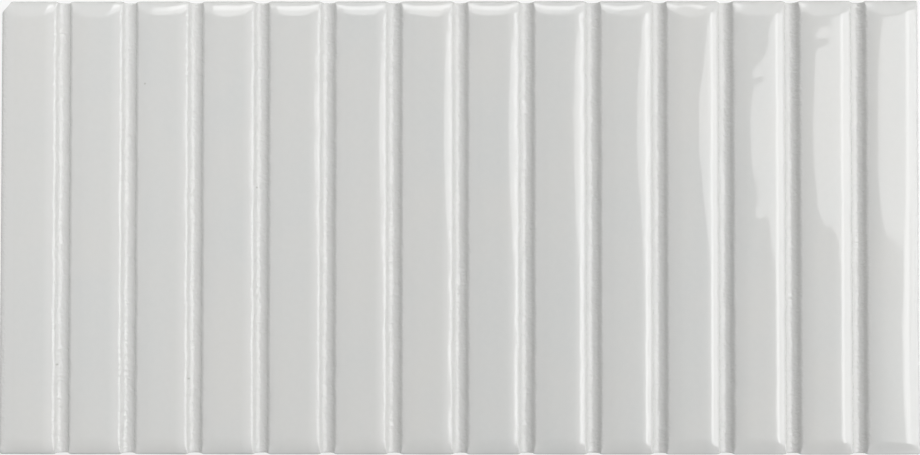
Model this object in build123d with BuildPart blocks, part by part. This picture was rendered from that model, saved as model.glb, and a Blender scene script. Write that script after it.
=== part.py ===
from build123d import *
from math import acos, cos, degrees, radians, sin
import os

# Ribbed wall tile: one pressed and glazed ceramic piece, in millimetres.
# The tile lies on its back with its face up. X runs across the bars, Y runs along them
# and Z runs from the back to the face. The origin is the middle of the back.

# Whole tile
tile_length = 250.0  # across the bars
tile_width = 123.5  # along the bars
tile_thickness = 10.5  # back to the top of a bar

# Bars and grooves of the face, each groove a round hollow between two rounded shoulders
bar_count = 14
groove_depth = 2.0  # from the shoulder line of the bars to the groove floor
shoulder_radius = 1.5
floor_radius = 1.9
crown_slope = 2.0  # degrees, fall of a bar's gentle crown where its flank begins
flank_slope = 18.0  # degrees, fall of the flank where it meets the shoulder
flank_reach = 2.6  # width of the flank on each side of the crown
left_margin = 0.7  # how much wider the first bar is on its outer side
right_margin = 0.15  # how much wider the last bar is on its outer side

# Ends of the bars, which roll off gently and then turn down into the end wall
roll_length = 4.8
roll_slope = 18.0  # degrees, fall of the roll where it meets the edge round
edge_radius = 1.0

# Outline seen from above
corner_radius = 0.8
chip_along_x = 2.7  # corner broken off at -X, +Y
chip_along_y = 3.4

# Keying pockets pressed into the back
key_columns = 10
key_rows = 5
key_rib = 4.0  # land left between two pockets
key_border = 7.0  # land left around all of them
key_depth = 0.8
key_corner = 2.5
back_bevel = 0.6

# Slopes and lengths that follow from the sizes above
crown_sine = sin(radians(crown_slope))
flank_sine = sin(radians(flank_slope))
flank_cosine = cos(radians(flank_slope))
wall_drop = shoulder_radius * flank_cosine + floor_radius - groove_depth
wall_slope = degrees(acos(wall_drop / (shoulder_radius + floor_radius)))
shoulder_reach = shoulder_radius * (sin(radians(wall_slope)) - flank_sine)
groove_reach = shoulder_reach + floor_radius * sin(radians(wall_slope))
outer_reach = shoulder_radius * (1 - flank_sine)
plain_length = tile_length - left_margin - right_margin
bars_reach = plain_length / 2 - (bar_count - 1) * groove_reach - outer_reach
crown_reach = bars_reach / bar_count - flank_reach
crown_radius = crown_reach / crown_sine
left_crown_radius = (crown_reach + left_margin) / crown_sine
right_crown_radius = (crown_reach + right_margin) / crown_sine
flank_turn = flank_slope - crown_slope
flank_radius = flank_reach / (flank_sine - crown_sine)
left_crown_drop = left_crown_radius * (1 - cos(radians(crown_slope)))
flank_drop = flank_radius * (cos(radians(crown_slope)) - flank_cosine)
side_height = tile_thickness - left_crown_drop - flank_drop - shoulder_radius * flank_cosine

roll_reach = roll_length - edge_radius * (1 - sin(radians(roll_slope)))
roll_radius = roll_reach / sin(radians(roll_slope))
flat_half = tile_width / 2 - roll_length

pocket_pitch_x = (tile_length - 2 * key_border + key_rib) / key_columns
pocket_pitch_y = (tile_width - 2 * key_border + key_rib) / key_rows

with BuildPart() as tile:
    # Cross section over all the bars, a chain of tangent arcs, run along the bars
    with BuildSketch(Plane.XZ) as bar_section:
        with BuildLine() as section_line:
            side = Line((-tile_length / 2, 0), (-tile_length / 2, side_height))
            face = JernArc(side @ 1, side % 1, shoulder_radius, flank_slope - 90)
            for bar in range(bar_count):
                left_radius = left_crown_radius if bar == 0 else crown_radius
                right_radius = right_crown_radius if bar == bar_count - 1 else crown_radius
                face = JernArc(face @ 1, face % 1, flank_radius, -flank_turn)
                face = JernArc(face @ 1, face % 1, left_radius, -crown_slope)
                face = JernArc(face @ 1, face % 1, right_radius, -crown_slope)
                face = JernArc(face @ 1, face % 1, flank_radius, -flank_turn)
                if bar < bar_count - 1:
                    face = JernArc(face @ 1, face % 1, shoulder_radius, flank_slope - wall_slope)
                    face = JernArc(face @ 1, face % 1, floor_radius, 2 * wall_slope)
                    face = JernArc(face @ 1, face % 1, shoulder_radius, flank_slope - wall_slope)
            face = JernArc(face @ 1, face % 1, shoulder_radius, flank_slope - 90)
            Line(face @ 1, (tile_length / 2, 0))
            Line((tile_length / 2, 0), (-tile_length / 2, 0))
        make_face()
        back_corners = bar_section.vertices().group_by(Axis.Y)[0]
        chamfer(back_corners, back_bevel)
    extrude(amount=tile_width / 2, both=True)

    # Side profile of one bar, with its rolled ends, run across the tile
    with BuildSketch(Plane.YZ) as bar_profile:
        with BuildLine() as profile_line:
            top = Line((0, tile_thickness), (flat_half, tile_thickness))
            roll = JernArc(top @ 1, top % 1, roll_radius, -roll_slope)
            edge = JernArc(roll @ 1, roll % 1, edge_radius, roll_slope - 90)
            Line(edge @ 1, (tile_width / 2, back_bevel))
            Line((tile_width / 2, back_bevel), (tile_width / 2 - back_bevel, 0))
            Line((tile_width / 2 - back_bevel, 0), (0, 0))
            mirror(about=Plane.YZ)
        make_face()
    extrude(amount=tile_length, both=True, mode=Mode.INTERSECT)

    # Outline from above, with small round corners and one corner broken off
    with BuildSketch() as outline:
        Rectangle(tile_length, tile_width)
        left_corners = outline.vertices().group_by(Axis.X)[0].sort_by(Axis.Y)
        right_corners = outline.vertices().group_by(Axis.X)[-1]
        broken_corner = left_corners[-1]
        fillet([left_corners[0], *right_corners], corner_radius)
        chamfer(
            outline.vertices().sort_by_distance(broken_corner)[0],
            chip_along_x,
            chip_along_y,
            reference=outline.edges().sort_by(Axis.Y)[-1],
        )
    extrude(amount=tile_thickness, mode=Mode.INTERSECT)

    # Shallow keying pockets in the back
    with BuildSketch() as key_pattern:
        with GridLocations(pocket_pitch_x, pocket_pitch_y, key_columns, key_rows):
            RectangleRounded(pocket_pitch_x - key_rib, pocket_pitch_y - key_rib, key_corner)
    extrude(amount=key_depth, mode=Mode.SUBTRACT)

os.makedirs("parts", exist_ok=True)
tile.part.label = "ribbed_tile"
export_step(tile.part, "parts/ribbed_tile.step")
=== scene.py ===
import math

import bmesh
import bpy
import numpy as np
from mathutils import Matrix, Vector, noise


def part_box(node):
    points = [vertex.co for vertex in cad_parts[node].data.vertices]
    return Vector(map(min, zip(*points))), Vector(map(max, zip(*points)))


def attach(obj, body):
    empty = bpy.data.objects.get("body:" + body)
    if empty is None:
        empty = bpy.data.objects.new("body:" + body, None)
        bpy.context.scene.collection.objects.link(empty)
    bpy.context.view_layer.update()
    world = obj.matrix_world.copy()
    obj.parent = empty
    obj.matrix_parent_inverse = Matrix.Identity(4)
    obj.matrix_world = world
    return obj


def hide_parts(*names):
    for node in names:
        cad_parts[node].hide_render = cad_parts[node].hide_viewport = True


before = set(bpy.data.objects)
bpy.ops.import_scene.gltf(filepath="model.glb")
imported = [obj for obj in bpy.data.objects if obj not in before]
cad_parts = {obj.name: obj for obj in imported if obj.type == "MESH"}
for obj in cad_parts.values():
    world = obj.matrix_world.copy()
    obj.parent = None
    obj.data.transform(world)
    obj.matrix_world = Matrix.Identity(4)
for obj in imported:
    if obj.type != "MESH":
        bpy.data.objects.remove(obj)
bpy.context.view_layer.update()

MM = 0.001

# The tile as packed
TILE_LOW, TILE_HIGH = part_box("ribbed_tile")
HALF_LENGTH = TILE_HIGH.x
HALF_WIDTH = TILE_HIGH.y
FACE_TOP = TILE_HIGH.z

# Bars and grooves, smooth curves along the solid's arcs
BAR_COUNT = 14
LEFT_MARGIN = 0.7 * MM
RIGHT_MARGIN = 0.15 * MM
GROOVE_DEPTH = 2.0 * MM
SHOULDER_RADIUS = 1.5 * MM
FLOOR_RADIUS = 1.9 * MM
CROWN_SLOPE = math.radians(18.0)
CROWN_POWER = 4
WALL_COSINE = (SHOULDER_RADIUS * math.cos(CROWN_SLOPE) + FLOOR_RADIUS - GROOVE_DEPTH) / (
    SHOULDER_RADIUS + FLOOR_RADIUS
)
WALL_SLOPE = math.acos(WALL_COSINE)
SHOULDER_REACH = SHOULDER_RADIUS * (math.sin(WALL_SLOPE) - math.sin(CROWN_SLOPE))
FLOOR_REACH = FLOOR_RADIUS * math.sin(WALL_SLOPE)
OUTER_REACH = SHOULDER_RADIUS * (1 - math.sin(CROWN_SLOPE)) + (LEFT_MARGIN + RIGHT_MARGIN) / 2
GROOVES_REACH = (BAR_COUNT - 1) * (SHOULDER_REACH + FLOOR_REACH)
CROWN_REACH = (HALF_LENGTH - GROOVES_REACH - OUTER_REACH) / BAR_COUNT
CROWN_DROP = CROWN_REACH * math.tan(CROWN_SLOPE) / CROWN_POWER
PITCH = 2 * (CROWN_REACH + SHOULDER_REACH + FLOOR_REACH)
FIRST_BAR = (LEFT_MARGIN - RIGHT_MARGIN - PITCH * (BAR_COUNT - 1)) / 2
LAST_BAR = FIRST_BAR + PITCH * (BAR_COUNT - 1)

# Ends of the bars
ROLL_LENGTH = 4.8 * MM
ROLL_START_SLOPE = math.radians(4.0)
ROLL_END_SLOPE = math.radians(18.0)
EDGE_RADIUS = 1.0 * MM
EDGE_REACH = EDGE_RADIUS * (1 - math.sin(ROLL_END_SLOPE))
ROLL_RADIUS = (ROLL_LENGTH - EDGE_REACH) / (math.sin(ROLL_END_SLOPE) - math.sin(ROLL_START_SLOPE))
ROLL_DROP = ROLL_RADIUS * (math.cos(ROLL_START_SLOPE) - math.cos(ROLL_END_SLOPE))
GROOVE_END_RADIUS = 0.4 * MM
CORNER_SOFTNESS = 0.06 * MM
ROLL_WANDER = 0.8 * MM
ROLL_WANDER_LENGTH = 6.0 * MM
LAST_ROLL_SHORTER = 1.6 * MM
NOTCH_DEPTH = 0.35 * MM
NOTCH_SPAN = 3.0 * MM

# Outline from above, with one corner broken off
CORNER_RADIUS = 0.8 * MM
CHIP_ALONG_X = 2.7 * MM
CHIP_ALONG_Y = 3.4 * MM
CHIP_HOLLOW = 0.3 * MM
CHIP_SHEAR_SPAN = 8.0 * MM
CHIP_RIM_START = 0.02
CHIP_RIM_REACH = 1.05

# Relief of the fired glaze
LONG_WAVE = 0.045 * MM
LONG_WAVE_LENGTH = (11.0 * MM, 22.0 * MM)
SHORT_WAVE = 0.018 * MM
SHORT_WAVE_LENGTH = (5.0 * MM, 7.0 * MM)
WANDER = 0.14 * MM
WANDER_LENGTH = (7.0 * MM, 5.0 * MM)
FINE_WANDER = 0.09 * MM
FINE_WANDER_LENGTH = (3.0 * MM, 1.8 * MM)

# Single swells and dents in the glaze: bar, place across and along, reach both ways, height
SWELLS = (
    (11, -1.2 * MM, 2.0 * MM, 1.6 * MM, 2.6 * MM, 0.05 * MM),
    (11, -0.2 * MM, 40.9 * MM, 1.6 * MM, 1.5 * MM, -0.022 * MM),
    (12, -1.4 * MM, 51.1 * MM, 2.2 * MM, 2.0 * MM, -0.03 * MM),
    (13, 6.0 * MM, -30.0 * MM, 4.0 * MM, 30.0 * MM, -0.2 * MM),
)

# Pinholes in the glaze, each at its place from the middle of the tile, darkened with painted shade as the
# pits are not in the mesh
PINHOLES = (
    (-85.5 * MM, 39.0 * MM),
    (-55.2 * MM, 10.8 * MM),
    (-109.4 * MM, -37.4 * MM),
    (-73.5 * MM, -41.2 * MM),
)
PINHOLE_REACH = 0.35 * MM

# Layers of the noise, so that no two kinds of relief look alike. A step is from bar to bar.
LONG_WAVE_STEP = 7.3
SHORT_WAVE_STEP = 3.1
SHORT_WAVE_LAYER = 50
ROLL_WANDER_STEP = 5.7
WANDER_LAYER = 30.0
FINE_WANDER_LAYER = 90.0
GLAZE_LINE_LAYER = 7.7

# Glaze, with masks by distance from the middle of a groove, where each starts and is full
GLAZE_WARM = (0.630, 0.629, 0.612, 1.0)
GLAZE_COOL = (0.612, 0.620, 0.610, 1.0)
GLAZE_CLOUD_SCALE = 45.0
GLAZE_MOTTLE = (0.66, 0.66, 0.645, 1.0)
GLAZE_MOTTLE_SHARE = 0.25
GLAZE_MOTTLE_SCALE = 650.0
# Paler towards the grooves: partly thinner glaze, partly painted light on the flanks and groove floors
GLAZE_THIN_AND_LIT = (0.68, 0.68, 0.668, 1.0)
GLAZE_THIN_AND_LIT_SHARE = 0.6
# Painted shade in the pinholes
PINHOLE_PAINTED_SHADE = (0.40, 0.40, 0.37, 1.0)
THIN_AND_LIT_MASK = (5.2 * MM, 2.8 * MM)
OFF_CROWN_MASK = (3.2 * MM, 2.4 * MM)
GROOVE_MASK = (2.0 * MM, 1.6 * MM)
GRAIN_SCALE = 1800.0
GRAIN_HEIGHT = 0.12 * MM
BEAD_SCALE = 1100.0
BEAD_HEIGHT = 0.16 * MM
GLAZE_ROUGHNESS = (0.03, 0.10)
GLAZE_IOR = 1.5

# Bare clay of the back and the lower walls
CLAY_DARK = (0.66, 0.58, 0.48, 1.0)
CLAY_LIGHT = (0.72, 0.65, 0.55, 1.0)
CLAY_CLOUD_SCALE = 60.0
CLAY_SPECK = (0.42, 0.33, 0.25, 1.0)
CLAY_SPECK_SHARE = 0.35
CLAY_SPECK_SCALE = 1500.0
CLAY_GRIT_SCALE = 2200.0
CLAY_GRIT_DEPTH = 0.12 * MM
CLAY_GRIT_STRENGTH = 0.5
CLAY_ROUGHNESS = (0.75, 0.92)

# Floor
WHITE = (1.0, 1.0, 1.0, 1.0)
FLOOR_SIZE = 6.0
FLOOR_TINT = (0.8, 0.8, 0.8, 1.0)
FLOOR_GLOW = 0.75

# Side walls and back
GLAZE_LINE = 4.2 * MM
GLAZE_LINE_WAVE = 0.5 * MM
GLAZE_LINE_WAVE_LENGTH = 14.0 * MM
GLAZE_LIP = 0.12 * MM
GLAZED_RINGS = 3
BACK_BEVEL = 0.6 * MM
KEY_COLUMNS = 10
KEY_ROWS = 5
KEY_RIB = 4.0 * MM
KEY_BORDER = 7.0 * MM
KEY_DEPTH = 0.8 * MM
KEY_CORNER = 2.5 * MM
KEY_DRAFT = 0.3 * MM
KEY_CORNER_STEPS = 5

# How finely the face is meshed
CROWN_STEPS = 10
FINE_CROWN_STEPS = 16
FINE_BARS = 4
SHOULDER_STEPS = 5
FLOOR_STEPS = 8
OUTER_STEPS = 7
END_ZONE = 6.0 * MM
END_STEPS = 24
END_CROWDING = 1.3
MIDDLE_STEPS = 166
SHARP_ANGLE = math.radians(50)

# Brightness of the room from straight up, 0, to the horizon, 1
ROOM_LEVELS = ((0.0, 0.01), (0.17, 0.02), (0.6, 0.02), (1.0, 0.015))

# Lamps, each with its centre and size and its radiance as a share of white
LAMP_HEIGHT = 1.0 + FACE_TOP
WINDOW_CENTRE = (0.67, -0.025, LAMP_HEIGHT)
WINDOW_SIZE = (1.20, 0.85)
WINDOW_RADIANCE = 6.2
WINDOW_LEVELS = ((0.07, 0.0), (0.25, 0.05), (0.35, 0.08), (0.43, 0.15), (0.50, 0.24), (0.56, 0.32),
                 (0.59, 0.72), (0.63, 1.0), (0.74, 1.0), (0.81, 0.50), (0.95, 0.32), (1.27, 0.30))
WINDOW_ROUND_CENTRE = (0.60, 0.124)
WINDOW_ROUND_REACH = (0.34, 0.135)
WINDOW_ROUND_EDGE = 0.985
WINDOW_ROUND_RUN = (0.25, 0.55)
WINDOW_ROUND_SHARES = (0.40, 0.58)
REAR_CENTRE = (-0.05, 0.63, LAMP_HEIGHT)
REAR_SIZE = (1.30, 0.62)
REAR_RADIANCE = 6.2
REAR_EDGE_RUN = (0.415, 0.425)
REAR_NEAR_SHARE = 0.53
REAR_NEAR_RUN = (0.68, 0.711)
REAR_LEFT_RUN = (-0.42, -0.37)
REAR_RIGHT_RUN = (0.0, 0.13)
REAR_RIGHT_LEAN = 0.6
REAR_ENDS_RUN = (-0.45, 0.30)
REAR_ENDS_SHARES = (0.17, 0.30)
REAR_ENDS_EDGE_RUN = (0.32, 0.50)
WALL_CENTRE = (0.1, 1.01, LAMP_HEIGHT)
WALL_SIZE = (2.2, 0.50)
WALL_RADIANCE = 1.45
WALL_RUN = (0.0, 0.4)
NEAR_HEIGHT = 0.2 + FACE_TOP
NEAR_LEFT_CENTRE = (-0.185, 0.02, NEAR_HEIGHT)
NEAR_LEFT_SIZE = (0.43, 0.44)
NEAR_LEFT_RADIANCE = 0.58
NEAR_LEFT_RUN = (-0.13, 0.03)
NEAR_RIGHT_CENTRE = (0.325, 0.02, NEAR_HEIGHT)
NEAR_RIGHT_SIZE = (0.15, 0.44)
NEAR_RIGHT_RADIANCE = 0.35
SIDE_CENTRE = (0.73, 0.0, 0.7 + FACE_TOP)
SIDE_SIZE = (0.18, 0.60)
SIDE_RADIANCE = 1.6
LOW_CENTRE = (1.60, 0.0, 0.92)
LOW_SIZE = (1.15, 0.64)
LOW_RADIANCE = 3.3
LEFT_CENTRE = (-0.26, 0.0, 0.11)
LEFT_SIZE = (0.60, 0.20)
LEFT_RADIANCE = 0.2
FRONT_CENTRE = (0.35, -0.50, 0.28)
FRONT_SIZE = (0.40, 0.30)
FRONT_RADIANCE = 1.5

# Camera: a 50 mm lens straight above, leaning a little so that the near edge is the wider
LENS = 50.0
SENSOR = 36.0
FRAME_WIDTH = 249.3 * MM
CAMERA_LEAN = math.radians(1.1)
CAMERA_LEAN_ACROSS = math.radians(0.25)
CAMERA_AIM = (0.21 * MM, -0.16 * MM)
CLIP_START = 0.01


def bar_centre(number):
    return FIRST_BAR + PITCH * number


def section_drop(x):
    """How far the face lies below the bar tops at x, over crowns, shoulders and grooves."""
    x = x + np.clip(FIRST_BAR - x, 0, LEFT_MARGIN) - np.clip(x - LAST_BAR, 0, RIGHT_MARGIN)
    number = np.clip(np.round((x - FIRST_BAR) / PITCH), 0, BAR_COUNT - 1)
    reach = np.abs(x - bar_centre(number))
    crown = CROWN_DROP * (reach / CROWN_REACH) ** CROWN_POWER
    along_shoulder = reach - CROWN_REACH + SHOULDER_RADIUS * math.sin(CROWN_SLOPE)
    shoulder_height = np.sqrt(np.maximum(SHOULDER_RADIUS**2 - along_shoulder**2, 0))
    shoulder = CROWN_DROP + SHOULDER_RADIUS * math.cos(CROWN_SLOPE) - shoulder_height
    along_floor = PITCH / 2 - reach
    floor_height = np.sqrt(np.maximum(FLOOR_RADIUS**2 - along_floor**2, 0))
    groove = CROWN_DROP + GROOVE_DEPTH - FLOOR_RADIUS + floor_height
    outside = (x < FIRST_BAR) | (x > LAST_BAR)
    on_shoulder = outside | (reach < CROWN_REACH + SHOULDER_REACH)
    return np.where(reach < CROWN_REACH, crown, np.where(on_shoulder, shoulder, groove))


def roll_drop(inset):
    """How far a bar has rolled off at this distance from its end, below zero further in."""
    rising = np.clip((ROLL_LENGTH - inset) / ROLL_RADIUS + math.sin(ROLL_START_SLOPE), 0, 1)
    roll = ROLL_RADIUS * (math.cos(ROLL_START_SLOPE) - np.sqrt(1 - rising**2))
    edge_height = np.sqrt(np.maximum(EDGE_RADIUS**2 - (EDGE_RADIUS - inset) ** 2, 0))
    edge = ROLL_DROP + EDGE_RADIUS * math.cos(ROLL_END_SLOPE) - edge_height
    inner = math.tan(ROLL_START_SLOPE) * (ROLL_LENGTH - inset)
    return np.where(inset < EDGE_REACH, edge, np.where(inset < ROLL_LENGTH, roll, inner))


def roll_wander(x, y):
    """How much shorter the rolled end is at x, other on each bar and shortest on the last one."""
    number = np.round((x - FIRST_BAR) / PITCH)
    layer = number * ROLL_WANDER_STEP
    wander = noise_field(x, np.sign(y) * 3 * ROLL_WANDER_LENGTH, (ROLL_WANDER_LENGTH,) * 2, layer)
    along_last = np.clip((x - LAST_BAR + CROWN_REACH) / (2 * CROWN_REACH), 0, 1)
    return ROLL_WANDER * wander + LAST_ROLL_SHORTER * along_last


def end_round(inset):
    """Small round where a groove floor meets the end wall."""
    left = np.clip(GROOVE_END_RADIUS - inset, 0, GROOVE_END_RADIUS)
    return GROOVE_END_RADIUS - np.sqrt(GROOVE_END_RADIUS**2 - left**2)


def soft_maximum(one, other, softness):
    near = np.maximum(softness - np.abs(one - other), 0) / softness
    return np.maximum(one, other) + near**2 * softness / 4


def face_height(x, y):
    """Height of the face above the floor, before the glaze's own relief."""
    inset = np.maximum(HALF_WIDTH - np.abs(y), 0)
    uneven = np.clip(inset / ROLL_LENGTH, 0, 1) * roll_wander(x, y)
    rolled = np.maximum(roll_drop(inset + uneven), 0)
    section = section_drop(x)
    end = np.hypot(np.minimum(section, CROWN_DROP), rolled)
    return FACE_TOP - soft_maximum(section + end_round(inset), end, CORNER_SOFTNESS)


def face_columns():
    """Places along the tile's length where the face is sampled, closer on the round parts."""
    columns = []
    slopes = np.linspace(CROWN_SLOPE, WALL_SLOPE, SHOULDER_STEPS + 1)[1:]
    shoulder = SHOULDER_RADIUS * (np.sin(slopes) - math.sin(CROWN_SLOPE))
    floor_slopes = np.linspace(WALL_SLOPE, -WALL_SLOPE, FLOOR_STEPS + 1)[1:]
    floor = FLOOR_REACH - FLOOR_RADIUS * np.sin(floor_slopes)
    outer_slopes = np.linspace(CROWN_SLOPE, math.pi / 2, OUTER_STEPS + 1)[1:]
    outer = SHOULDER_RADIUS * (np.sin(outer_slopes) - math.sin(CROWN_SLOPE))
    columns.extend(bar_centre(0) - CROWN_REACH - outer[::-1])
    for number in range(BAR_COUNT):
        middle = bar_centre(number)
        steps = FINE_CROWN_STEPS if number >= BAR_COUNT - FINE_BARS else CROWN_STEPS
        columns.extend(middle + np.linspace(-CROWN_REACH, CROWN_REACH, steps + 1))
        if number < BAR_COUNT - 1:
            columns.extend(middle + CROWN_REACH + shoulder)
            columns.extend(middle + CROWN_REACH + SHOULDER_REACH + floor)
            columns.extend(bar_centre(number + 1) - CROWN_REACH - shoulder[-2::-1])
    columns.extend(bar_centre(BAR_COUNT - 1) + CROWN_REACH + outer)
    columns = np.array(columns)
    return columns - LEFT_MARGIN * (columns < FIRST_BAR) + RIGHT_MARGIN * (columns > LAST_BAR)


def face_rows():
    """Places along the bars where the face is sampled, closer towards the ends."""
    ends = END_ZONE * np.linspace(0, 1, END_STEPS + 1) ** END_CROWDING
    middle = np.linspace(END_ZONE - HALF_WIDTH, HALF_WIDTH - END_ZONE, MIDDLE_STEPS + 1)
    return np.concatenate([ends[:-1] - HALF_WIDTH, middle, HALF_WIDTH - ends[-2::-1]])


def sheared_past_chip(x, y):
    """Moves the columns near the broken corner inwards, so that the rim follows the break."""
    along = np.clip((y - (HALF_WIDTH - CHIP_ALONG_Y)) / CHIP_ALONG_Y, 0, 1)
    share = np.clip(1 - (x + HALF_LENGTH) / CHIP_SHEAR_SPAN, 0, 1)
    hollow = CHIP_HOLLOW * 4 * along * (1 - along)
    return x + (CHIP_ALONG_X * along + hollow) * share


def notched_ends(x, y):
    """Draws the ends of the grooves a little inwards from the ends of the bars."""
    in_groove = np.clip((section_drop(x) - CROWN_DROP) / GROOVE_DEPTH * 2, 0, 1)
    in_groove = np.where((x < FIRST_BAR) | (x > LAST_BAR), 0.0, in_groove)
    near_end = np.clip(1 - (HALF_WIDTH - np.abs(y)) / NOTCH_SPAN, 0, 1)
    return y - np.sign(y) * NOTCH_DEPTH * in_groove * near_end


def rounded_corners(x, y):
    """Draws the four square corners of the grid into quarter circles, apart from the chip."""
    across = np.abs(x) - (HALF_LENGTH - CORNER_RADIUS)
    along = np.abs(y) - (HALF_WIDTH - CORNER_RADIUS)
    whole_corner = (x > 0) | (y < 0)
    inside = (across > 0) & (along > 0) & whole_corner
    square = np.maximum(across, along)
    circle = np.maximum(np.hypot(across, along), 1e-9)
    pull = np.where(inside, square / circle, 1.0)
    round_x = np.sign(x) * (HALF_LENGTH - CORNER_RADIUS + across * pull)
    round_y = np.sign(y) * (HALF_WIDTH - CORNER_RADIUS + along * pull)
    return np.where(inside, round_x, x), np.where(inside, round_y, y)


def noise_field(x, y, lengths, layer):
    """Smooth noise from -1 to 1 over the face, with one wave length across and one along."""
    flat = zip((x / lengths[0]).ravel(), (y / lengths[1]).ravel(), layer.ravel())
    return np.array([noise.noise(place) for place in flat]).reshape(x.shape)


def glaze_relief(x, y, drop):
    """Swells and dips of the fired glaze, other on each bar, along the surface normal."""
    number = np.clip(np.round((x - FIRST_BAR) / PITCH), 0, BAR_COUNT - 1)
    on_bar = np.clip(1 - drop / (CROWN_DROP + SHOULDER_RADIUS), 0, 1)
    relief = LONG_WAVE * on_bar * noise_field(x, y, LONG_WAVE_LENGTH, number * LONG_WAVE_STEP)
    short_layer = number * SHORT_WAVE_STEP + SHORT_WAVE_LAYER
    relief += SHORT_WAVE * on_bar * noise_field(x, y, SHORT_WAVE_LENGTH, short_layer)
    for bar, across, along, reach_x, reach_y, height in SWELLS:
        from_x = (x - bar_centre(bar) - across) / reach_x
        from_y = (y - along) / reach_y
        relief += height * np.exp(-(from_x**2) - from_y**2)
    return relief - relief.max() * on_bar


def groove_wander(x, y):
    """How far the shoulders stray sideways along a groove, nothing at the tile's own edge."""
    inner = np.clip((HALF_LENGTH - np.abs(x)) / (PITCH / 2), 0, 1)
    wander = WANDER * noise_field(x, y, WANDER_LENGTH, np.full(x.shape, WANDER_LAYER))
    wander += FINE_WANDER * noise_field(x, y, FINE_WANDER_LENGTH, np.full(x.shape, FINE_WANDER_LAYER))
    return wander * inner


def grid_normals(points):
    across = np.gradient(points, axis=1)
    along = np.gradient(points, axis=0)
    normals = np.cross(across, along)
    return normals / np.maximum(np.linalg.norm(normals, axis=2, keepdims=True), 1e-12)


def face_points():
    """The glazed face as a grid of points, rows along the bars and columns across them."""
    x, y = np.meshgrid(face_columns(), face_rows())
    x = sheared_past_chip(x, y)
    z = face_height(x + groove_wander(x, y), y)
    relief = glaze_relief(x, y, section_drop(x))
    round_x, round_y = rounded_corners(x, notched_ends(x, y))
    points = np.stack([round_x, round_y, z], axis=2)
    return points + grid_normals(points) * relief[:, :, None]


def rim_numbers(rows, columns):
    """Vertex numbers round the edge of the grid, anticlockwise from above."""
    front = list(range(columns))
    right = [row * columns + columns - 1 for row in range(1, rows)]
    rear = [(rows - 1) * columns + column for column in range(columns - 2, -1, -1)]
    left = [row * columns for row in range(rows - 2, 0, -1)]
    return front + right + rear + left


def outward(rim):
    """Unit direction out of the outline at each rim point, seen from above."""
    ahead = np.roll(rim, -1, axis=0) - np.roll(rim, 1, axis=0)
    out = np.stack([ahead[:, 1], -ahead[:, 0]], axis=1)
    return out / np.maximum(np.linalg.norm(out, axis=1, keepdims=True), 1e-12)


def wall_rings(rim):
    """Rings of points from the rim of the face down the walls to the back."""
    out = outward(rim[:, :2])
    waves = [
        noise.noise((px / GLAZE_LINE_WAVE_LENGTH, py / GLAZE_LINE_WAVE_LENGTH, GLAZE_LINE_LAYER))
        for px, py in rim[:, :2]
    ]
    line = FACE_TOP - GLAZE_LINE + GLAZE_LINE_WAVE * np.array(waves)
    even = np.ones(len(rim))
    levels = [
        (0.0, (rim[:, 2] + line) / 2),
        (0.0, line),
        (GLAZE_LIP, line - GLAZE_LIP),
        (GLAZE_LIP, (line + BACK_BEVEL) / 2),
        (GLAZE_LIP, BACK_BEVEL * even),
        (GLAZE_LIP + BACK_BEVEL, 0.0 * even),
    ]
    rings = []
    for inset, height in levels:
        ring = np.column_stack([rim[:, :2] - out * inset, height])
        rings.append(ring)
    return rings


def rounded_rectangle(centre, half_x, half_y, radius):
    """Points round a rectangle with round corners, anticlockwise."""
    points = []
    for corner in range(4):
        sign_x = (1, -1, -1, 1)[corner]
        sign_y = (1, 1, -1, -1)[corner]
        for step in range(KEY_CORNER_STEPS + 1):
            angle = math.pi / 2 * (corner + step / KEY_CORNER_STEPS)
            px = centre[0] + sign_x * (half_x - radius) + radius * math.cos(angle)
            py = centre[1] + sign_y * (half_y - radius) + radius * math.sin(angle)
            points.append((px, py))
    return points


def key_centres():
    pitch_x = (2 * HALF_LENGTH - 2 * KEY_BORDER + KEY_RIB) / KEY_COLUMNS
    pitch_y = (2 * HALF_WIDTH - 2 * KEY_BORDER + KEY_RIB) / KEY_ROWS
    for column in range(KEY_COLUMNS):
        for row in range(KEY_ROWS):
            px = (column - (KEY_COLUMNS - 1) / 2) * pitch_x
            py = (row - (KEY_ROWS - 1) / 2) * pitch_y
            yield (px, py), (pitch_x - KEY_RIB) / 2, (pitch_y - KEY_RIB) / 2


def add_key_pocket(mesh, centre, half_x, half_y):
    """One shallow pocket of the back. Returns the edges of its mouth."""
    mouth_points = rounded_rectangle(centre, half_x, half_y, KEY_CORNER)
    bed_points = rounded_rectangle(centre, half_x - KEY_DRAFT, half_y - KEY_DRAFT, KEY_CORNER - KEY_DRAFT)
    mouth = [mesh.verts.new((px, py, 0.0)) for px, py in mouth_points]
    bed = [mesh.verts.new((px, py, KEY_DEPTH)) for px, py in bed_points]
    faces = [mesh.faces.new(bed)]
    edges = []
    for number in range(len(mouth)):
        after = (number + 1) % len(mouth)
        faces.append(mesh.faces.new((mouth[number], mouth[after], bed[after], bed[number])))
        edges.append(mesh.edges.get((mouth[number], mouth[after])))
    for face in faces:
        face.material_index = 1
    return edges


def close_back(mesh, last_ring):
    """Fills the back between the bevel and the mouths of the keying pockets."""
    edges = []
    for number in range(len(last_ring)):
        after = (number + 1) % len(last_ring)
        edges.append(mesh.edges.get((last_ring[number], last_ring[after])))
    for centre, half_x, half_y in key_centres():
        edges.extend(add_key_pocket(mesh, centre, half_x, half_y))
    filled = bmesh.ops.triangle_fill(mesh, use_beauty=True, edges=edges)
    for item in filled["geom"]:
        if isinstance(item, bmesh.types.BMFace):
            item.material_index = 1


def is_broken(one, other):
    """True for a stretch of the rim that lies along the broken corner."""
    middle_x = (one[0] + other[0]) / 2
    middle_y = (one[1] + other[1]) / 2
    in_x = (middle_x + HALF_LENGTH) / CHIP_ALONG_X
    in_y = (HALF_WIDTH - middle_y) / CHIP_ALONG_Y
    return in_x + in_y < CHIP_RIM_REACH and min(in_x, in_y) > CHIP_RIM_START


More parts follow.
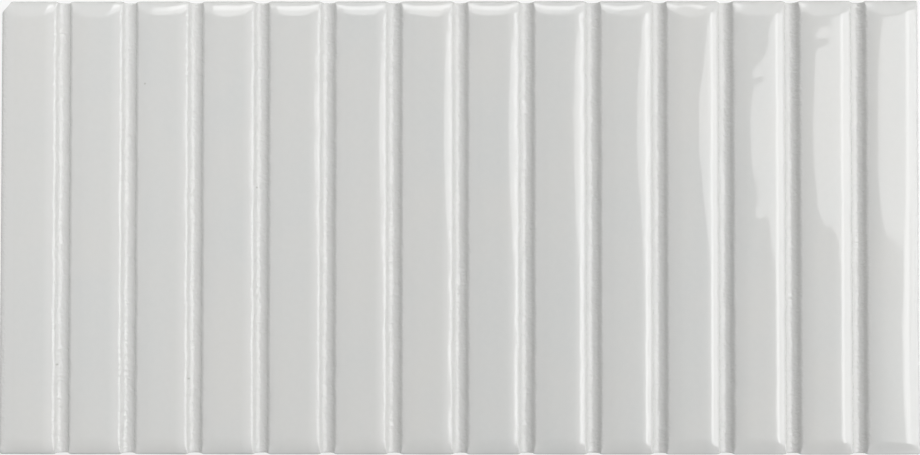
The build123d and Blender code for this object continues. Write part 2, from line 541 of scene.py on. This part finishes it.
def make_tile():
    """The tile as one closed mesh: glazed face, walls, bevel and keyed back."""
    grid = face_points()
    rows, columns = grid.shape[:2]
    rim = rim_numbers(rows, columns)
    mesh = bmesh.new()
    face = [mesh.verts.new(point) for point in grid.reshape(-1, 3)]
    for row in range(rows - 1):
        start = row * columns
        for column in range(columns - 1):
            low = start + column
            high = low + columns
            mesh.faces.new((face[low], face[low + 1], face[high + 1], face[high]))
    ring = [face[number] for number in rim]
    rings = wall_rings(grid.reshape(-1, 3)[rim])
    for level, points in enumerate(rings):
        below = [mesh.verts.new(point) for point in points]
        for number in range(len(ring)):
            after = (number + 1) % len(ring)
            wall = mesh.faces.new((ring[number], below[number], below[after], ring[after]))
            broken = is_broken(points[number], points[after])
            wall.material_index = 0 if level < GLAZED_RINGS and not broken else 1
        ring = below
    close_back(mesh, ring)
    bmesh.ops.recalc_face_normals(mesh, faces=mesh.faces)
    data = bpy.data.meshes.new("glazed_tile")
    mesh.to_mesh(data)
    mesh.free()
    data.polygons.foreach_set("use_smooth", [True] * len(data.polygons))
    data.set_sharp_from_angle(angle=SHARP_ANGLE)
    tile = bpy.data.objects.new("glazed_tile", data)
    bpy.context.scene.collection.objects.link(tile)
    return tile


class Nodes:
    """Short calls for building one node tree."""

    def __init__(self, tree):
        self.tree = tree
        self.tree.nodes.clear()

    def add(self, kind, inputs=None, **settings):
        node = self.tree.nodes.new(kind)
        for name, value in settings.items():
            setattr(node, name, value)
        for name, value in (inputs or {}).items():
            self.put(node.inputs[name], value)
        return node

    def put(self, socket, value):
        if isinstance(value, bpy.types.NodeSocket):
            self.tree.links.new(value, socket)
        else:
            socket.default_value = value

    def math(self, operation, one, other=0.0):
        node = self.add("ShaderNodeMath", operation=operation)
        self.put(node.inputs[0], one)
        self.put(node.inputs[1], other)
        return node.outputs[0]

    def noise(self, place, scale, detail=2.0):
        inputs = {"Vector": place, "Scale": scale, "Detail": detail}
        return self.add("ShaderNodeTexNoise", inputs).outputs["Fac"]

    def ramp(self, value, low, high, start=0.0, end=1.0):
        inputs = {"Value": value, "From Min": low, "From Max": high, "To Min": start, "To Max": end}
        return self.add("ShaderNodeMapRange", inputs).outputs["Result"]

    def steps(self, value, levels):
        """A smooth run through pairs of place and level, places from 0 to 1."""
        node = self.add("ShaderNodeValToRGB", {"Fac": value})
        ramp = node.color_ramp
        ramp.interpolation = "EASE"
        while len(ramp.elements) < len(levels):
            ramp.elements.new(0.5)
        for element, (place, level) in zip(ramp.elements, levels):
            element.position = place
            element.color = (level, level, level, 1.0)
        return node.outputs["Color"]

    def blend(self, share, one, other):
        node = self.add("ShaderNodeMix", data_type="RGBA")
        self.put(node.inputs["Factor"], share)
        self.put(node.inputs["A"], one)
        self.put(node.inputs["B"], other)
        return node.outputs["Result"]


def pinhole_painted_shade_share(nodes, place):
    """Share of painted shade for the pinholes: 1 at the middle of a pinhole, 0 away from all of them."""
    flat = nodes.add("ShaderNodeVectorMath", {1: (1.0, 1.0, 0.0)}, operation="MULTIPLY")
    nodes.put(flat.inputs[0], place)
    share = 0.0
    for px, py in PINHOLES:
        away = nodes.add("ShaderNodeVectorMath", {1: (px, py, 0.0)}, operation="DISTANCE")
        nodes.put(away.inputs[0], flat.outputs["Vector"])
        hole = nodes.ramp(away.outputs["Value"], PINHOLE_REACH, 0.0)
        share = nodes.math("MAXIMUM", hole, share)
    return share


def glaze_material():
    """Pale grey gloss glaze, faintly mottled, grainy by the grooves, and paler towards them, partly where
    the glaze is thinner and partly as painted light on the flanks and groove floors.
    """
    material = bpy.data.materials.new("pale_glaze")
    material.use_nodes = True
    nodes = Nodes(material.node_tree)
    place = nodes.add("ShaderNodeTexCoord").outputs["Object"]
    across = nodes.add("ShaderNodeSeparateXYZ", {"Vector": place}).outputs["X"]
    pitches = nodes.math("DIVIDE", nodes.math("SUBTRACT", across, FIRST_BAR), PITCH)
    off_middle = nodes.math("ABSOLUTE", nodes.math("SUBTRACT", nodes.math("FRACT", pitches), 0.5))
    from_middle = nodes.math("MULTIPLY", off_middle, PITCH)
    in_groove = nodes.ramp(from_middle, *GROOVE_MASK)
    off_crown = nodes.ramp(from_middle, *OFF_CROWN_MASK)
    # Painted light, together with thinner glaze: paler towards and in the grooves
    thin_and_lit = nodes.ramp(from_middle, *THIN_AND_LIT_MASK, 0.0, GLAZE_THIN_AND_LIT_SHARE)
    cloud = nodes.ramp(nodes.noise(place, GLAZE_CLOUD_SCALE, 3.0), 0.35, 0.65)
    mottle = nodes.ramp(nodes.noise(place, GLAZE_MOTTLE_SCALE, 3.0), 0.3, 0.7)
    tint = nodes.blend(cloud, GLAZE_WARM, GLAZE_COOL)
    toned = nodes.blend(nodes.math("MULTIPLY", mottle, GLAZE_MOTTLE_SHARE), tint, GLAZE_MOTTLE)
    pale = nodes.blend(thin_and_lit, toned, GLAZE_THIN_AND_LIT)
    # Painted shade darkens each pinhole
    surface = nodes.blend(pinhole_painted_shade_share(nodes, place), pale, PINHOLE_PAINTED_SHADE)
    grain = nodes.math("SUBTRACT", nodes.noise(place, GRAIN_SCALE, 1.0), 0.5)
    beads = nodes.math("SUBTRACT", nodes.noise(place, BEAD_SCALE, 1.0), 0.5)
    grain_height = nodes.math("MULTIPLY", nodes.math("MULTIPLY", grain, in_groove), GRAIN_HEIGHT)
    bead_height = nodes.math("MULTIPLY", nodes.math("MULTIPLY", beads, off_crown), BEAD_HEIGHT)
    relief = nodes.math("ADD", grain_height, bead_height)
    bump = nodes.add("ShaderNodeBump", {"Height": relief, "Strength": 1.0, "Distance": 1.0})
    roughness = nodes.ramp(in_groove, 0.0, 1.0, *GLAZE_ROUGHNESS)
    inputs = {"Base Color": surface, "Roughness": roughness, "IOR": GLAZE_IOR}
    inputs["Normal"] = bump.outputs["Normal"]
    shader = nodes.add("ShaderNodeBsdfPrincipled", inputs)
    output = nodes.add("ShaderNodeOutputMaterial")
    nodes.put(output.inputs["Surface"], shader.outputs["BSDF"])
    return material


def biscuit_material():
    """Bare fired clay of the back and lower walls: matt, warm white, finely speckled."""
    material = bpy.data.materials.new("bare_biscuit")
    material.use_nodes = True
    nodes = Nodes(material.node_tree)
    place = nodes.add("ShaderNodeTexCoord").outputs["Object"]
    cloud = nodes.ramp(nodes.noise(place, CLAY_CLOUD_SCALE, 4.0), 0.3, 0.7)
    speck = nodes.ramp(nodes.noise(place, CLAY_SPECK_SCALE, 2.0), 0.62, 0.72)
    body = nodes.blend(cloud, CLAY_DARK, CLAY_LIGHT)
    surface = nodes.blend(nodes.math("MULTIPLY", speck, CLAY_SPECK_SHARE), body, CLAY_SPECK)
    grit = nodes.noise(place, CLAY_GRIT_SCALE, 4.0)
    relief = {"Height": grit, "Strength": CLAY_GRIT_STRENGTH, "Distance": CLAY_GRIT_DEPTH}
    bump = nodes.add("ShaderNodeBump", relief)
    roughness = nodes.ramp(grit, 0.3, 0.7, *CLAY_ROUGHNESS)
    inputs = {"Base Color": surface, "Roughness": roughness, "Normal": bump.outputs["Normal"]}
    shader = nodes.add("ShaderNodeBsdfPrincipled", inputs)
    output = nodes.add("ShaderNodeOutputMaterial")
    nodes.put(output.inputs["Surface"], shader.outputs["BSDF"])
    return material


def make_floor():
    """Pale floor that shows white to the camera and still takes the tile's shadow."""
    bpy.ops.mesh.primitive_plane_add(size=FLOOR_SIZE)
    floor = bpy.context.object
    floor.name = "floor"
    material = bpy.data.materials.new("floor")
    material.use_nodes = True
    nodes = Nodes(material.node_tree)
    matt = nodes.add("ShaderNodeBsdfDiffuse", {"Color": FLOOR_TINT})
    glow = nodes.add("ShaderNodeEmission", {"Color": WHITE, "Strength": 1.0})
    seen = nodes.add("ShaderNodeLightPath").outputs["Is Camera Ray"]
    share = nodes.math("MULTIPLY", seen, FLOOR_GLOW)
    both = nodes.add("ShaderNodeMixShader", {"Fac": share})
    nodes.put(both.inputs[1], matt.outputs["BSDF"])
    nodes.put(both.inputs[2], glow.outputs["Emission"])
    output = nodes.add("ShaderNodeOutputMaterial")
    nodes.put(output.inputs["Surface"], both.outputs["Shader"])
    floor.data.materials.append(material)


def make_world():
    """A dim, nearly even room that shows white to the camera."""
    world = bpy.data.worlds.new("room")
    bpy.context.scene.world = world
    world.use_nodes = True
    nodes = Nodes(world.node_tree)
    way = nodes.add("ShaderNodeTexCoord").outputs["Generated"]
    rise = nodes.add("ShaderNodeSeparateXYZ", {"Vector": way}).outputs["Z"]
    quarter_turn = nodes.math("DIVIDE", nodes.math("ARCCOSINE", rise), math.pi / 2)
    level = nodes.steps(quarter_turn, ROOM_LEVELS)
    seen = nodes.add("ShaderNodeLightPath").outputs["Is Camera Ray"]
    strength = nodes.math("MAXIMUM", level, seen)
    sky = nodes.add("ShaderNodeBackground", {"Color": WHITE, "Strength": strength})
    output = nodes.add("ShaderNodeOutputWorld")
    nodes.put(output.inputs["Surface"], sky.outputs["Background"])


def softbox(name, centre, size, radiance, level=None, aim=None):
    """An area lamp that looks down or at a point. Level maps its brightness over its face."""
    lamp = bpy.data.lights.new(name, "AREA")
    lamp.shape = "RECTANGLE"
    lamp.size = size[0]
    lamp.size_y = size[1]
    lamp.energy = radiance * math.pi * size[0] * size[1]
    box = bpy.data.objects.new(name, lamp)
    box.location = centre
    box.visible_camera = False
    if aim is not None:
        box.rotation_euler = (Vector(aim) - Vector(centre)).to_track_quat("-Z", "Y").to_euler()
    if level is not None:
        lamp.use_nodes = True
        nodes = Nodes(lamp.node_tree)
        share = nodes.add("ShaderNodeNewGeometry").outputs["Parametric"]
        shares = nodes.add("ShaderNodeSeparateXYZ", {"Vector": share}).outputs
        strength = level(nodes, shares["X"], shares["Y"])
        glow = nodes.add("ShaderNodeEmission", {"Color": WHITE, "Strength": strength})
        output = nodes.add("ShaderNodeOutputLight")
        nodes.put(output.inputs["Surface"], glow.outputs["Emission"])
    bpy.context.scene.collection.objects.link(box)


def lamp_place(nodes, share, centre, size):
    """Metres in the scene from a share of a lamp's width or depth."""
    return nodes.ramp(share, 0, 1, centre - size / 2, centre + size / 2)


def window_level(nodes, across, along):
    """The side window: a glow that rises to a full pane, and a round part to its left."""
    x = lamp_place(nodes, across, WINDOW_CENTRE[0], WINDOW_SIZE[0])
    y = lamp_place(nodes, along, WINDOW_CENTRE[1], WINDOW_SIZE[1])
    low = WINDOW_CENTRE[0] - WINDOW_SIZE[0] / 2
    levels = [((place - low) / WINDOW_SIZE[0], level) for place, level in WINDOW_LEVELS]
    pane = nodes.steps(across, levels)
    from_x = nodes.math("DIVIDE", nodes.math("SUBTRACT", x, WINDOW_ROUND_CENTRE[0]), WINDOW_ROUND_REACH[0])
    from_y = nodes.math("DIVIDE", nodes.math("SUBTRACT", y, WINDOW_ROUND_CENTRE[1]), WINDOW_ROUND_REACH[1])
    from_x_squared = nodes.math("MULTIPLY", from_x, from_x)
    from_y_squared = nodes.math("MULTIPLY", from_y, from_y)
    from_middle = nodes.math("ADD", from_x_squared, from_y_squared)
    inside = nodes.ramp(from_middle, 1.0, WINDOW_ROUND_EDGE)
    bright = nodes.ramp(x, *WINDOW_ROUND_RUN, *WINDOW_ROUND_SHARES)
    round_part = nodes.math("MULTIPLY", inside, bright)
    return nodes.math("MAXIMUM", pane, round_part)


def rear_level(nodes, across, along):
    """The rear lamp: a middle that is dimmer along its near side, and two dim ends."""
    x = lamp_place(nodes, across, REAR_CENTRE[0], REAR_SIZE[0])
    y = lamp_place(nodes, along, REAR_CENTRE[1], REAR_SIZE[1])
    depth = nodes.ramp(y, *REAR_NEAR_RUN, REAR_NEAR_SHARE, 1.0)
    edge = nodes.ramp(y, *REAR_EDGE_RUN)
    slant = nodes.math("MULTIPLY", nodes.math("SUBTRACT", y, REAR_EDGE_RUN[1]), REAR_RIGHT_LEAN)
    right = nodes.ramp(nodes.math("SUBTRACT", x, slant), *REAR_RIGHT_RUN, 1.0, 0.0)
    left = nodes.ramp(x, *REAR_LEFT_RUN)
    sides = nodes.math("MULTIPLY", left, right)
    middle = nodes.math("MULTIPLY", nodes.math("MULTIPLY", depth, edge), sides)
    ends_edge = nodes.ramp(y, *REAR_ENDS_EDGE_RUN)
    ends = nodes.math("MULTIPLY", nodes.ramp(x, *REAR_ENDS_RUN, *REAR_ENDS_SHARES), ends_edge)
    return nodes.math("MAXIMUM", middle, ends)


def wall_level(nodes, across, along):
    """The rear wall: brighter further back."""
    return nodes.ramp(along, *WALL_RUN)


def near_left_level(nodes, across, along):
    """The near lamp on the left: fades out towards the middle of the tile."""
    x = lamp_place(nodes, across, NEAR_LEFT_CENTRE[0], NEAR_LEFT_SIZE[0])
    return nodes.ramp(x, *NEAR_LEFT_RUN, 1.0, 0.0)


def make_lights():
    middle = (0.0, 0.0, FACE_TOP)
    softbox("window", WINDOW_CENTRE, WINDOW_SIZE, WINDOW_RADIANCE, level=window_level)
    softbox("rear_lamp", REAR_CENTRE, REAR_SIZE, REAR_RADIANCE, level=rear_level)
    softbox("rear_wall", WALL_CENTRE, WALL_SIZE, WALL_RADIANCE, level=wall_level)
    softbox("near_left", NEAR_LEFT_CENTRE, NEAR_LEFT_SIZE, NEAR_LEFT_RADIANCE, level=near_left_level)
    softbox("near_right", NEAR_RIGHT_CENTRE, NEAR_RIGHT_SIZE, NEAR_RIGHT_RADIANCE)
    softbox("side_panel", SIDE_CENTRE, SIDE_SIZE, SIDE_RADIANCE)
    softbox("low_window", LOW_CENTRE, LOW_SIZE, LOW_RADIANCE, aim=middle)
    softbox("left_reflector", LEFT_CENTRE, LEFT_SIZE, LEFT_RADIANCE, aim=(0.0, 0.0, LEFT_CENTRE[2]))
    softbox("front_right", FRONT_CENTRE, FRONT_SIZE, FRONT_RADIANCE, aim=middle)


def make_camera():
    scene = bpy.context.scene
    lens = bpy.data.cameras.new("camera")
    lens.lens = LENS
    lens.sensor_width = SENSOR
    lens.clip_start = CLIP_START
    distance = FRAME_WIDTH * LENS / SENSOR
    camera = bpy.data.objects.new("camera", lens)
    back = Vector((0.0, 0.0, distance))
    camera.rotation_euler = (CAMERA_LEAN, CAMERA_LEAN_ACROSS, 0.0)
    back.rotate(camera.rotation_euler)
    camera.location = Vector((*CAMERA_AIM, FACE_TOP)) + back
    scene.collection.objects.link(camera)
    scene.camera = camera


tile = make_tile()
tile.data.materials.append(glaze_material())
tile.data.materials.append(biscuit_material())
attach(tile, "root")
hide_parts("ribbed_tile")

make_floor()
make_world()
make_lights()
make_camera()
bpy.context.scene.view_settings.view_transform = "Standard"
